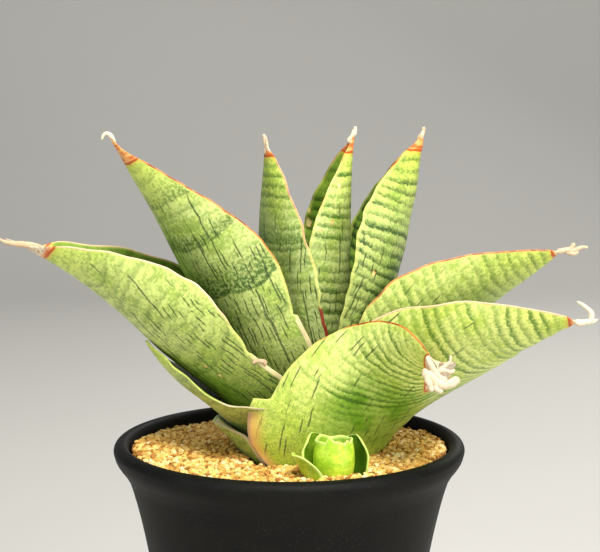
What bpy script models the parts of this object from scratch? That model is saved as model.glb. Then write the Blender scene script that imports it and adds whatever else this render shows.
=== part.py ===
"""Potted snake plant: a rosette of channelled leaves and a pup, set in grit and
potting mix in a flared round pot.

Origin: centre of the pot's underside. +Z is up, +X is right, -Y is the front.
Lengths below are in millimetres and angles in degrees; meshes are made in metres.
"""

import math

import bmesh
import bpy
import numpy as np

MM = 0.001
GAP = 0.3  # clearance between pieces that touch

# Pot: a flared wall under a thick rounded lip
POT_HEIGHT = 109.5
RIM_RADIUS = 60.0
RIM_HEIGHT = 107.0  # height of the lip's widest circle
MOUTH_RADIUS = 55.0
NECK_RADIUS = 54.7  # where the wall meets the lip's underside
NECK_HEIGHT = 96.7
BASE_RADIUS = 40.0
WALL = 2.2
FLOOR = 3.0
POT_STEPS = 52
DRAIN_RADIUS = 3.0
DRAIN_RING = 26.0
DRAIN_COUNT = 6

# Growing medium
MIX_TOP = 97.7
GRIT_BOTTOM = MIX_TOP + GAP
GRIT_TOP = 107.0  # just below the lip's crest at the front
GRIT_BACK_DROP = 2.6  # how much lower the grit lies at the back

# Rosette: every leaf base is an arc about one upright axis
CROWN_X, CROWN_Y = 8.0, 0.0
CROWN_BOTTOM = 88.0
CORM_TOP = 85.0  # the leaf bases stand just above it
CROWN_SOCKET = 22.0  # least radius of the well round the leaf bases
LEAF_STATIONS = 21
LEAF_ACROSS = 9

# Pup
PUP_X, PUP_Y = 14.4, -41.3
PUP_BOTTOM = 100.0
PUP_SOCKET = 8.6  # least radius of the well round the pup

# Each leaf: ring is the radius of its base arc; heading, rise, fold and roll are
# angles spread evenly from base to tip; width is the half width over the curve;
# tail is the length of a dry thread past the tip.
LEAVES = {
    "leaf_left_low": dict(
        ring=14.1, heading=(186, 186, 196), rise=(88, 42, 43, 25), fold=(86, 76, 82, 37),
        roll=(-7, 1, 4), length=131.6, width=42.1, widest=0.55),
    "leaf_left_high": dict(
        ring=10.0, heading=(193, 193, 194), rise=(75, 67, 62, 58), fold=(94, 71, 70, 38),
        roll=(-5, 14, 7), length=138.8, width=34.7, widest=0.59),
    "leaf_upright": dict(
        ring=6.0, heading=(181, 180, 178), rise=(77, 82, 90, 90), fold=(93, 72, 33, 41),
        roll=(-1, 15, 20), length=125.9, width=32.7, widest=0.61),
    "leaf_centre": dict(
        ring=4.0, heading=(-15, -5, 3), rise=(78, 83, 91, 84), fold=(102, 78, 82, 58),
        roll=(-2, 4, 6), length=128.6, width=25.1, widest=0.71),
    "leaf_right_high": dict(
        ring=8.0, heading=(-11, 4, 0), rise=(77, 74, 77, 85), fold=(95, 79, 59, 76),
        roll=(-1, -3, -7), length=131.3, width=36.6, widest=0.71),
    "leaf_right_mid": dict(
        ring=12.0, heading=(-8, -18, 2), rise=(71, 58, 45, 28), fold=(95, 63, 55, 21),
        roll=(5, -14, -38), length=115.5, width=35.4, widest=0.60, tail=9.0),
    "leaf_right_low": dict(
        ring=16.3, heading=(-13, -25, -3), rise=(77, 51, 31, 11), fold=(88, 54, 40, 24),
        roll=(5, -26, -44), length=104.4, width=39.5, widest=0.43, tail=5.0),
    "leaf_front": dict(
        ring=23.2, heading=(-59, -53, -80), rise=(94, 61, 38, -12), fold=(79, 42, 62, 57),
        roll=(20, -21, -46), length=89.6, width=32.3, widest=0.42, trim=0.4, lobe=0.1),
    "leaf_left_under": dict(
        ring=18.6, heading=(191, 194, 198), rise=(100, 54, 40, 61), fold=(81, 70, 22, 34),
        roll=(-2, -4, 1), length=72.3, width=27.2, widest=0.49),
    "base_sheath": dict(
        ring=21.1, heading=(197, 189, 200), rise=(98, 64, 44, 51), fold=(61, 25, 30, 16),
        roll=(-3, 2, -4), length=46.8, width=21.0, widest=0.48),
}
PUP_LEAVES = {
    "pup_left_leaf": dict(
        ring=8.1, heading=(150, 150, 150), rise=(88, 84, 98), fold=(66, 62, 52),
        roll=(0, 0, 0), length=18.6, width=11.0, widest=0.5),
    "pup_right_leaf": dict(
        ring=9.8, heading=(12, 10, 8), rise=(86, 74, 96), fold=(56, 60, 54),
        roll=(0, 0, 0), length=18.6, width=11.0, widest=0.55),
    "pup_scale": dict(
        ring=9.5, heading=(205, 208, 206), rise=(87, 70, 44), fold=(36, 38, 32),
        roll=(0, 0, 0), length=18.0, width=9.5, widest=0.4),
}


# ---------------------------------------------------------------- scene helpers

def clear_scene():
    for item in list(bpy.data.objects):
        bpy.data.objects.remove(item, do_unlink=True)


def material(name, colour, roughness, metallic=0.0):
    made = bpy.data.materials.new(name)
    made.use_nodes = True
    shader = made.node_tree.nodes["Principled BSDF"]
    shader.inputs["Base Color"].default_value = (*colour, 1.0)
    shader.inputs["Roughness"].default_value = roughness
    shader.inputs["Metallic"].default_value = metallic
    return made


def add_object(name, mesh, finish=None, smooth_angle=40.0):
    """Link a mesh as a named object; with no finish it is a hidden cutter."""
    item = bpy.data.objects.new(name, mesh)
    bpy.context.scene.collection.objects.link(item)
    mesh.shade_smooth()
    mesh.set_sharp_from_angle(angle=math.radians(smooth_angle))
    if finish is None:
        item.hide_render = True
        item.display_type = "WIRE"
    else:
        mesh.materials.append(finish)
    return item


def combine(item, tool, operation):
    modifier = item.modifiers.new(f"{operation.lower()}_{tool.name}", "BOOLEAN")
    modifier.operation = operation
    modifier.solver = "EXACT"
    modifier.object = tool


def grid_mesh(name, points, faces):
    mesh = bpy.data.meshes.new(name)
    mesh.from_pydata([tuple(point * MM) for point in np.asarray(points, float)], [], faces)
    tidy = bmesh.new()
    tidy.from_mesh(mesh)
    bmesh.ops.recalc_face_normals(tidy, faces=tidy.faces)
    tidy.to_mesh(mesh)
    tidy.free()
    return mesh


def turned_mesh(name, profile, steps=POT_STEPS, centre=(0.0, 0.0)):
    """Spin (radius, height) points about an upright axis; ends at radius 0 close it."""
    work = bmesh.new()
    corners = [work.verts.new((radius * MM, 0.0, height * MM)) for radius, height in profile]
    edges = [work.edges.new(pair) for pair in zip(corners, corners[1:])]
    bmesh.ops.spin(
        work, geom=corners + edges, axis=(0, 0, 1), cent=(0, 0, 0),
        steps=steps, angle=math.tau, use_merge=True)
    bmesh.ops.remove_doubles(work, verts=work.verts, dist=1e-6)
    bmesh.ops.recalc_face_normals(work, faces=work.faces)
    bmesh.ops.translate(work, verts=work.verts, vec=(centre[0] * MM, centre[1] * MM, 0.0))
    mesh = bpy.data.meshes.new(name)
    work.to_mesh(mesh)
    work.free()
    return mesh


# ---------------------------------------------------------------- curves

def eased(low, high, value):
    share = np.clip((value - low) / (high - low), 0.0, 1.0)
    return share * share * (3.0 - 2.0 * share)


def spread(values, share):
    """Read a smooth curve through evenly spaced values at the given shares (0 to 1)."""
    values = np.asarray(values, float)
    last = len(values) - 1
    slope = np.gradient(values)
    place = np.clip(share, 0.0, 1.0) * last
    left = np.minimum(place.astype(int), last - 1)
    f = place - left
    start = values[left] * (1 + 2 * f) * (1 - f) ** 2 + slope[left] * f * (1 - f) ** 2
    end = values[left + 1] * f * f * (3 - 2 * f) + slope[left + 1] * f * f * (f - 1)
    return start + end


def half_width(leaf, along, tip=0.03, belly=1.6, taper=1.25):
    """Half width over the curve: base arc, widest place, long taper to the tip."""
    base = leaf["ring"] * math.radians(leaf["fold"][0]) / leaf["width"]
    widest = leaf["widest"]
    rising = np.sin(0.5 * math.pi * np.clip(along / widest, 0.0, 1.0)) ** 2
    rise = base + (1.0 - base) * rising
    past = np.clip((along - widest) / (1.0 - widest), 0.0, 1.0)
    fall = tip + (1.0 - tip) * (1.0 - past ** belly) ** taper
    return leaf["width"] * np.where(along < widest, rise, fall)


# ---------------------------------------------------------------- leaves

def arc_reach(leaf, along, share):
    """Share of the fold that the arc covers: its low side may be trimmed near the
    base, where a neighbour leaves the sheath, and its high side may swell into a lobe."""
    trimmed = 1.0 - leaf.get("trim", 0.0) * (1.0 - eased(0.15, 0.55, along))
    lobe = 1.0 + leaf.get("lobe", 0.0) * np.exp(-((along - 0.27) / 0.09) ** 2)
    low = (share < 0.0)[None, :]
    return share[None, :] * np.where(low, trimmed[:, None], lobe[:, None])


def leaf_shell(leaf, axis, bottom, stations, across, base_thick, body_thick, **outline):
    """Outer and inner faces of a channelled leaf as (station, across, xyz) arrays."""
    along = np.linspace(0.0, 1.0, stations)
    tail = leaf.get("tail", 0.0) / leaf["length"]
    if tail:
        along = np.concatenate([along, [1.0 + 0.5 * tail, 1.0 + tail]])
    heading = np.radians(spread(leaf["heading"], along))
    rise = np.radians(spread(leaf["rise"], along))
    roll = np.radians(spread(leaf["roll"], along))
    fold = np.radians(spread(leaf["fold"], along))

    flat = np.cos(rise)
    forward = np.stack([np.cos(heading) * flat, np.sin(heading) * flat, np.sin(rise)], -1)
    steps = 0.5 * (forward[1:] + forward[:-1]) * leaf["length"] * np.diff(along)[:, None]
    keel = np.concatenate([np.zeros((1, 3)), np.cumsum(steps, 0)])
    keel += (
        axis[0] + leaf["ring"] * math.cos(heading[0]),
        axis[1] + leaf["ring"] * math.sin(heading[0]),
        bottom)

    level = np.stack(
        [-np.sin(rise) * np.cos(heading), -np.sin(rise) * np.sin(heading), np.cos(rise)], -1)
    side = np.cross(forward, level)
    mouth = level * np.cos(roll)[:, None] + side * np.sin(roll)[:, None]
    side = np.cross(forward, mouth)

    radius = half_width(leaf, along, **outline) / fold
    share = np.linspace(-1.0, 1.0, across)
    angle = fold[:, None] * arc_reach(leaf, along, share)
    rise_in = (radius[:, None] * (1.0 - np.cos(angle)))[..., None]
    reach = (radius[:, None] * np.sin(angle))[..., None]
    outer = keel[:, None] + mouth[:, None] * rise_in + side[:, None] * reach
    inward = mouth[:, None] * np.cos(angle)[..., None] - side[:, None] * np.sin(angle)[..., None]

    middle = base_thick + (body_thick - base_thick) * eased(0.05, 0.4, along)
    middle = np.minimum(middle * (1.0 - 0.65 * eased(0.75, 1.0, along)), 0.55 * radius)
    margin = np.minimum(0.8, 0.8 * middle)
    thick = margin[:, None] + (middle - margin)[:, None] * (1.0 - np.abs(share)[None, :] ** 3)
    return outer, outer + inward * thick[..., None]


def shell_mesh(name, outer, inner):
    """Close two matching point grids into one thick sheet."""
    rows, columns = outer.shape[:2]
    behind = rows * columns
    faces = []
    for row in range(rows - 1):
        for column in range(columns - 1):
            first = row * columns + column
            front = (first, first + columns, first + columns + 1, first + 1)
            faces.append(front)
            faces.append(tuple(behind + corner for corner in reversed(front)))
    left = [row * columns for row in range(rows)]
    right = [row * columns + columns - 1 for row in range(rows)]
    base = list(range(columns))
    tip = [(rows - 1) * columns + column for column in range(columns)]
    for edge in (left, right[::-1], base[::-1], tip):
        for start, end in zip(edge, edge[1:]):
            faces.append((start, behind + start, behind + end, end))
    points = np.concatenate([outer.reshape(-1, 3), inner.reshape(-1, 3)])
    return grid_mesh(name, points, faces)


def crown_leaf(leaf, stations=LEAF_STATIONS, across=LEAF_ACROSS):
    return leaf_shell(leaf, (CROWN_X, CROWN_Y), CROWN_BOTTOM, stations, across, 1.6, 2.8)


def pup_leaf(leaf, stations=11, across=7):
    return leaf_shell(
        leaf, (PUP_X, PUP_Y), PUP_BOTTOM, stations, across, 1.1, 1.3,
        tip=0.16, belly=2.2, taper=0.75)


def make_leaves(finish, pup_finish):
    for name, leaf in LEAVES.items():
        add_object(name, shell_mesh(name, *crown_leaf(leaf)), finish, 60.0)
    for name, leaf in PUP_LEAVES.items():
        add_object(name, shell_mesh(name, *pup_leaf(leaf)), pup_finish, 60.0)


def make_pup_bud(finish):
    """A closed barrel of rolled young leaf with a shallow hollow in its top."""
    profile = [
        (0.0, PUP_BOTTOM), (4.4, PUP_BOTTOM), (5.8, 103.5), (6.6, 107.5), (6.7, 110.5),
        (6.2, 114.0), (5.3, 117.2), (4.9, 119.2), (4.2, 119.0), (3.6, 116.6), (0.0, 115.4)]
    add_object("pup_bud", turned_mesh("pup_bud", profile, 24, (PUP_X, PUP_Y)), finish)


# ---------------------------------------------------------------- wells for the bases

def plan_outline(leaves, shell, axis, least, height, count):
    """Outline of the leaf bases at one height, as a ring of points about their axis."""
    turns = np.arange(count) * math.tau / count
    reach = np.full(count, least)
    for leaf in leaves.values():
        outer, inner = shell(leaf, 81, 25)
        points = np.concatenate([outer.reshape(-1, 3), inner.reshape(-1, 3)])
        points = points[np.abs(points[:, 2] - height) < 1.6]
        offset = points[:, :2] - axis
        bearing = np.arctan2(offset[:, 1], offset[:, 0])
        distance = np.hypot(offset[:, 0], offset[:, 1])
        for index, turn in enumerate(turns):
            apart = np.abs((bearing - turn + math.pi) % math.tau - math.pi)
            near = distance[apart < math.tau / count]
            if near.size:
                reach[index] = max(reach[index], near.max())
    reach = reach + GAP + 0.2
    return np.stack([
        axis[0] + reach * np.cos(turns), axis[1] + reach * np.sin(turns),
        np.full(count, height)], -1)


def stacked_mesh(name, rings):
    """Close a stack of matching rings into one solid."""
    count = len(rings[0])
    faces = [tuple(range(count)), tuple(range(count * (len(rings) - 1), count * len(rings)))]
    for level in range(len(rings) - 1):
        for index in range(count):
            first = level * count + index
            second = level * count + (index + 1) % count
            faces.append((first, second, second + count, first + count))
    return grid_mesh(name, np.concatenate(rings), faces)


def crown_well():
    """Space that the leaf bases take up in the mix and the grit, as a cutter."""
    heights = (CORM_TOP, 86.2, 88.0, 91.0, 94.0, 97.0, 100.0, 103.0, 106.0, 110.0)
    rings = [
        plan_outline(LEAVES, crown_leaf, (CROWN_X, CROWN_Y), CROWN_SOCKET, height, 40)
        for height in heights]
    return add_object("crown_well", stacked_mesh("crown_well", rings))


def pup_well():
    """Space that the pup's base takes up in the grit, as a cutter."""
    heights = (GRIT_BOTTOM - 1.0, 100.5, 103.0, 105.5, 108.0, 111.0)
    rings = [
        plan_outline(PUP_LEAVES, pup_leaf, (PUP_X, PUP_Y), PUP_SOCKET, height, 28)
        for height in heights]
    return add_object("pup_well", stacked_mesh("pup_well", rings))


# ---------------------------------------------------------------- pot

def wall_radius(height):
    """Outer radius of the flared wall below the lip."""
    share = height / NECK_HEIGHT
    kick = 1.0  # the last quick flare under the lip
    flare = NECK_RADIUS - BASE_RADIUS - kick
    return BASE_RADIUS + flare * share ** 1.55 + kick * share ** 12


def make_pot(finish):
    lip = [
        (55.6, 98.4), (56.8, 100.3), (58.2, 102.1), (59.3, 104.0), (59.8, 105.6),
        (RIM_RADIUS, RIM_HEIGHT), (59.4, 108.4), (58.3, 109.2), (56.9, POT_HEIGHT),
        (55.8, 109.0), (MOUTH_RADIUS, 107.6), (54.5, 105.0), (53.9, 101.0)]
    heights = np.linspace(4.0, NECK_HEIGHT, 10)
    outside = [(wall_radius(height), height) for height in heights]
    inside = [(wall_radius(height) - WALL, height) for height in heights[::-1] if height > FLOOR]
    profile = [(0.0, 0.0), (BASE_RADIUS - 2.0, 0.0), (BASE_RADIUS - 0.5, 1.2)]
    profile += outside + lip + inside
    profile += [(BASE_RADIUS - WALL - 1.0, FLOOR), (0.0, FLOOR)]
    pot = add_object("pot", turned_mesh("pot", profile), finish)
    for index in range(DRAIN_COUNT):
        turn = math.tau * index / DRAIN_COUNT
        centre = (DRAIN_RING * math.cos(turn), DRAIN_RING * math.sin(turn))
        hole = [(0.0, -2.0), (DRAIN_RADIUS, -2.0), (DRAIN_RADIUS, FLOOR + 2.0), (0.0, FLOOR + 2.0)]
        name = f"drain_cutter_{index}"
        combine(pot, add_object(name, turned_mesh(name, hole, 16, centre)), "DIFFERENCE")


# ---------------------------------------------------------------- below ground

def root_path(index, count=6):
    """Centre line of one root: out from the corm, then down into the mix."""
    turn = math.tau * (index + 0.25) / count
    reach = 19.0 + 3.0 * (index % 3)
    depth = 48.0 + 7.0 * (index % 2)
    share = np.linspace(0.0, 1.0, 9)
    out = 6.0 + reach * np.sin(0.5 * math.pi * share)
    swing = turn + 0.5 * share
    return np.stack([
        CROWN_X * (1.0 - share) + out * np.cos(swing),
        CROWN_Y * (1.0 - share) + out * np.sin(swing),
        78.0 - depth * share ** 1.4], -1)


def stolon_path():
    """Centre line of the runner that carries the pup."""
    share = np.linspace(0.0, 1.0, 9)
    return np.stack([
        CROWN_X + 2.0 + (PUP_X - CROWN_X - 2.0) * share,
        CROWN_Y - 12.0 + (PUP_Y + 1.0 - CROWN_Y + 12.0) * np.sin(0.5 * math.pi * share),
        80.0 + (PUP_BOTTOM - 1.2 - 80.0) * share ** 1.8], -1)


def lengthened(path, extra):
    """The same path with its last point moved on along the path's end."""
    longer = path.copy()
    end = path[-1] - path[-2]
    longer[-1] += end / np.linalg.norm(end) * extra
    return longer


def tube_mesh(name, path, radii, sides=8):
    """A round tube along a path, with flat ends."""
    forward = np.gradient(path, axis=0)
    forward /= np.linalg.norm(forward, axis=1)[:, None]
    plane = np.cross(path[-1] - path[0], (0.0, 0.0, 1.0))
    across = np.cross(forward, plane)
    across /= np.linalg.norm(across, axis=1)[:, None]
    third = np.cross(forward, across)
    turns = np.arange(sides) * math.tau / sides
    around = across[:, None] * np.cos(turns)[:, None] + third[:, None] * np.sin(turns)[:, None]
    points = (path[:, None] + around * np.asarray(radii)[:, None, None]).reshape(-1, 3)
    faces = [tuple(range(sides)), tuple(range(len(points) - sides, len(points)))]
    for row in range(len(path) - 1):
        for side in range(sides):
            first = row * sides + side
            second = row * sides + (side + 1) % sides
            faces.append((first, second, second + sides, first + sides))
    return grid_mesh(name, points, faces)


def rhizome_pieces(grow, label):
    """The corm, its roots and the runner, each grown outwards by a clearance."""
    corm = [
        (0.0, CORM_TOP + grow), (19.0 + grow, CORM_TOP + grow), (21.0 + grow, CORM_TOP - 3.0),
        (17.0 + grow, CORM_TOP - 10.0), (11.0 + grow, CORM_TOP - 17.0),
        (5.0 + grow, CORM_TOP - 23.0 - grow), (0.0, CORM_TOP - 24.0 - 2.0 * grow)]
    name = f"{label}_corm"
    pieces = [turned_mesh(name, corm[::-1], 28, (CROWN_X, CROWN_Y))]
    for index in range(6):
        path = lengthened(root_path(index), 1.5 * grow)
        radii = np.linspace(1.9, 0.8, len(path)) + grow
        pieces.append(tube_mesh(f"{label}_root_{index}", path, radii))
    path = lengthened(stolon_path(), 10.0 * grow)
    pieces.append(tube_mesh(f"{label}_runner", path, np.full(len(path), 3.2 + grow), 10))
    return pieces


def make_rhizome(finish):
    corm, *branches = rhizome_pieces(0.0, "rhizome")
    rhizome = add_object("rhizome", corm, finish)
    for branch in branches:
        combine(rhizome, add_object(f"{branch.name}_joined", branch), "UNION")


def make_potting_mix(finish):
    heights = np.linspace(MIX_TOP, FLOOR + GAP + 1.0, 9)
    side = [(wall_radius(min(height, NECK_HEIGHT)) - WALL - GAP, height) for height in heights]
    floor = FLOOR + GAP
    profile = [(0.0, floor), (BASE_RADIUS - WALL - 1.5, floor), *side[::-1], (0.0, MIX_TOP)]
    mix = add_object("potting_mix", turned_mesh("potting_mix", profile, 40), finish)
    combine(mix, crown_well(), "DIFFERENCE")
    for piece in rhizome_pieces(GAP, "clearance"):
        combine(mix, add_object(f"{piece.name}_cutter", piece), "DIFFERENCE")


# ---------------------------------------------------------------- grit

def grit_level(x, y):
    """Height of the mounded grit: flush with the mouth in front, lower at the back."""
    back = eased(-10.0, 50.0, y)
    wave = 0.35 * np.sin(0.21 * x + 0.8) * np.cos(0.17 * y)
    return GRIT_TOP - GRIT_BACK_DROP * back + wave - 0.3


def make_grit(finish):
    outer = MOUTH_RADIUS - GAP - 0.9
    low = wall_radius(NECK_HEIGHT) - WALL - GAP
    reach = [outer, 47.0, 39.0, 31.0, 23.0, 14.0]
    profile = [(0.0, GRIT_BOTTOM), (low, GRIT_BOTTOM), (outer, 103.0)]
    profile += [(radius, GRIT_TOP) for radius in reach] + [(0.0, GRIT_TOP)]
    mesh = turned_mesh("gravel_dressing", profile, 48)
    for corner in mesh.vertices:
        if corner.co.z > (GRIT_TOP - 0.5) * MM:
            corner.co.z = grit_level(corner.co.x / MM, corner.co.y / MM) * MM
    grit = add_object("gravel_dressing", mesh, finish)
    combine(grit, crown_well(), "DIFFERENCE")
    combine(grit, pup_well(), "DIFFERENCE")


# ---------------------------------------------------------------- whole plant

def main():
    clear_scene()
    make_pot(material("pot_plastic", (0.018, 0.018, 0.019), 0.62))
    make_potting_mix(material("potting_soil", (0.075, 0.045, 0.028), 0.95))
    make_grit(material("tan_grit", (0.60, 0.42, 0.22), 0.9))
    make_rhizome(material("rhizome_skin", (0.52, 0.30, 0.14), 0.7))
    make_leaves(
        material("leaf_green", (0.36, 0.50, 0.20), 0.42),
        material("pup_green", (0.42, 0.66, 0.10), 0.38))
    make_pup_bud(material("pup_bud_green", (0.46, 0.70, 0.12), 0.38))


main()
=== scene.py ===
"""Looks of the potted snake plant: mottled leaves with dry tips, a pup, grit and a pot.

Lengths are in millimetres and angles in degrees; meshes are made in metres.
+Z is up, +X is right and -Y is the front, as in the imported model.
"""

import math
from types import SimpleNamespace

import bmesh
import bpy
import numpy as np
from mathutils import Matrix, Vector
from mathutils.bvhtree import BVHTree


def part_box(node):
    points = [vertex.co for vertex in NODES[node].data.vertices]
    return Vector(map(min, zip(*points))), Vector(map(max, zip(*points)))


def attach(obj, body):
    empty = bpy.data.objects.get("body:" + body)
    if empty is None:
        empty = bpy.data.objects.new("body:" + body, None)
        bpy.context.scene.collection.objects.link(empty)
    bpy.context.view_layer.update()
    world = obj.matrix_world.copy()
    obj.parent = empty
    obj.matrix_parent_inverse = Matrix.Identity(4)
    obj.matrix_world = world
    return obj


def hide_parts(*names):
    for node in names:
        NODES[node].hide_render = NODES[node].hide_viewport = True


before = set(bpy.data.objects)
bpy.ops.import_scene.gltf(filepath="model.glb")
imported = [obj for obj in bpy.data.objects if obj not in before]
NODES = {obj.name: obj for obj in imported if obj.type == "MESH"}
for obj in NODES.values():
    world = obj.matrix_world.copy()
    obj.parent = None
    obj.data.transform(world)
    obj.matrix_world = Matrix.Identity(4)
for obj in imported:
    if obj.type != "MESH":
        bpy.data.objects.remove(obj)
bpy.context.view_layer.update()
MM = 0.001

# the upright axes that the leaves and the pup grow round, and the level they start at
CROWN = (8, 0)
CROWN_BOTTOM = 88
PUP = (14.4, -40.4)
PUP_BOTTOM = 101
BUD_TOP = 118.9
# grit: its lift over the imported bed, how far the bed stays below that, the well in front
# of the pup that it fills, and a low mound there (place, then reach and height)
GRIT_LIFT = 1.3
BED_DROP = 0.9
PUP_WELL = 12.5
MOUND = (14.4, -49)
MOUND_SIZE = (9, 0.6)
GRAIN_STEP = 1.86
GRAIN_STRETCH = ((0.95, 1.35), (0.8, 1.05), (0.62, 0.9))
GOLDEN_ANGLE = 2.399963
# pot
RIM_RADIUS = 60
NECK_RADIUS = 54.7
NECK_HEIGHT = 96.7
BASE_RADIUS = 40
WALL = 2.2
FLOOR = 3
DRAINS = 6
DRAIN_RADIUS = 3
DRAIN_CIRCLE = 26

# Shape: ring is the radius of the base arc; heading, rise, fold and roll are angles
# spread evenly from base to tip; width is the greatest half width over the curve, at the
# share widest of the length; near is the side that faces the viewer, -1 for left and 1
# for right. Low down, trim narrows the left side and lobe widens the right one. flap is
# the torn sheath edge on the near side, as (mm from the base, mm out) pairs, and cut is
# where a torn leaf ends.
# Tip and margin: dry is the length of the dry tip, shrink how much it narrows, tan the
# share of it that stays tan and slant how far it reaches down the far side. red is how
# far the red-brown margin runs down from the tip, as a share of the length, papery how
# white its outer edge is, and sheath the pale margin low down (height, width, colour).
# Pattern: period, bands, soft, warp and arch shape the cross stripes, which fade out
# below the share bare. fronts lists single dark ones (mm from the base, fade, strength),
# flank paints shade on the side under the fold, dashes and veins are the chance of
# short and long lengthwise lines, grey tints the leaf, and glow is painted light
# that brightens the whole leaf, most on the leaves that the light falls on. PLAIN_LEAF has
# what a leaf leaves out.
PLAIN_LEAF = dict(
    near=1, roll=(0, 0, 0), trim=0, lobe=0, flap=(), cut=None, dry=0, shrink=0.5, tan=0, slant=0,
    red=0, papery=0, sheath=None, bare=0.3, soft=0, arch=-0.004, fronts=(), flank=False, veins=0)
LEAVES = {
    "leaf_left_low": dict(
        ring=14.1, heading=(186, 186, 196), rise=(88, 42, 43, 25), fold=(86, 76, 82, 37),
        roll=(-7, 1, 4), length=131.6, width=42.1, widest=0.55, near=-1,
        flap=((18, 3), (31, 5.5), (37, 4.4), (41, 2.6), (44.5, 1.2), (47.5, 0.5), (48.6, -0.4), (51, 0)),
        dry=14, shrink=0.72, tan=0.02, red=0.55, papery=0.9, sheath=(47, 1.2, (232, 214, 158)),
        period=5.2, bands=0.45, bare=0.35, soft=0.7, warp=14, dashes=0.85, veins=0.5, grey=0.3, glow=0.35),
    "leaf_left_high": dict(
        ring=10, heading=(193, 193, 194), rise=(75, 67, 62, 58), fold=(94, 71, 70, 38),
        roll=(-5, 14, 7), length=138.8, width=34.7, widest=0.59, near=-1,
        flap=((25, 2), (45, 5), (52, 4.2), (55.5, 3), (59, 1.9), (61.6, 0.9), (62.4, -0.5), (66, 0)),
        dry=10.5, tan=0.85, red=0.45, sheath=(61, 1.2, (228, 210, 156)),
        period=5, bands=0.3, bare=0.5, soft=0.1, warp=9, arch=-0.002,
        fronts=((110.5, 6, 0.6), (94.5, 6, 0.85), (75, 15, 1), (64, 7, 0.45)),
        dashes=1, veins=0.7, grey=0.6, glow=0.38),
    "leaf_upright": dict(
        ring=6, heading=(181, 180, 178), rise=(77, 82, 90, 90), fold=(93, 72, 33, 41),
        roll=(-1, 15, 20), length=125.9, width=32.7, widest=0.61, near=-1,
        flap=((30, 1), (50, 2.6), (59, 1.7), (65, 0.4), (71, -0.9), (72, -1.2), (76, 0)),
        dry=6.5, tan=0.12, red=0.3, papery=0.3, sheath=(71, 0.9, (142, 52, 26)),
        period=3.5, bands=0.8, bare=0.6, warp=3, arch=-0.003,
        fronts=((90, 6, 0.9), (83, 4, 0.6), (64, 8, 0.5)),
        dashes=0.8, veins=0.9, grey=0.8, glow=0.62),
    "leaf_centre": dict(
        ring=4, heading=(-15, -5, 3), rise=(78, 83, 91, 84), fold=(102, 78, 82, 58),
        roll=(-2, 4, 6), length=128.6, width=25.1, widest=0.71, dry=8, tan=0.5, red=0.14,
        period=3.5, bands=1.1, bare=0.42, warp=3, dashes=0.8, veins=0.9, grey=0.7, glow=0.56),
    "leaf_right_high": dict(
        ring=8, heading=(-11, 4, 0), rise=(77, 74, 77, 85), fold=(95, 79, 59, 76),
        roll=(-1, -3, -7), length=131.3, width=36.6, widest=0.71, dry=7.5, tan=0.45, red=0.12,
        period=3.6, bands=1.3, bare=0.36, warp=4, dashes=0.7, veins=0.9, grey=0.6, glow=0.15),
    "leaf_right_mid": dict(
        ring=12, heading=(-8, -18, 2), rise=(71, 58, 45, 28), fold=(95, 63, 55, 21),
        roll=(5, -14, -38), length=115.5, width=35.4, widest=0.6,
        dry=2.6, tan=0.2, red=0.5, papery=0.1, period=3.4, bands=1, soft=0.35,
        warp=5, arch=-0.006, dashes=0.5, veins=0.2, grey=0.2, glow=0.7),
    "leaf_right_low": dict(
        ring=16.3, heading=(-13, -25, -3), rise=(77, 51, 31, 11), fold=(88, 54, 40, 24),
        roll=(5, -26, -44), length=104.4, width=39.5, widest=0.43,
        dry=3, tan=0.2, red=0.75, papery=0.7, period=3.2, bands=1.1, bare=0.25, soft=0.35,
        warp=5, arch=-0.006, dashes=0.25, veins=0.1, grey=0.1, glow=1),
    "leaf_front": dict(
        ring=23.2, heading=(-59, -53, -80), rise=(94, 61, 38, -12), fold=(79, 42, 62, 57),
        roll=(20, -21, -46), length=89.6, width=32.3, widest=0.42, trim=0.4, lobe=0.1,
        flap=((8, -8), (13, -6.5), (17, -3.2), (21, 1.2), (25.3, 2.9), (29.5, 4.6), (32.4, 5.2),
              (33.6, 0.4), (37, 0)),
        dry=12, slant=1.9, red=0.4, sheath=(30, 3.8, (224, 178, 92)),
        period=2.6, bands=1.6, bare=0.33, soft=0.2, warp=6, flank=True,
        dashes=0.42, grey=0.05, glow=1),
    "leaf_left_under": dict(
        ring=18.6, heading=(191, 194, 198), rise=(100, 54, 40, 61), fold=(81, 70, 22, 34),
        roll=(-2, -4, 1), length=72.3, width=27.2, widest=0.49, near=-1,
        flap=((12, 1), (22, 2.6), (32, 3.6), (40, 3.6), (44.8, 3.2), (45.8, 2.2), (52, 2.4), (60, 1.6),
              (66, 0.6), (70, 0)),
        sheath=(46, 1.1, (214, 206, 158)), period=5, bands=0.5, soft=0.5,
        warp=8, arch=0, dashes=0.6, veins=0.2, grey=0.45, glow=0),
    "base_sheath": dict(
        ring=21.1, heading=(197, 189, 200), rise=(98, 64, 44, 51), fold=(61, 25, 30, 16),
        roll=(-3, 2, -4), length=46.8, width=21, widest=0.48, near=-1, cut=33.5,
        sheath=(60, 1.3, (216, 204, 158)), period=5, bands=0.4, soft=0.6,
        warp=8, arch=0, dashes=0.3, grey=0.35, glow=0.1),
}
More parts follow.
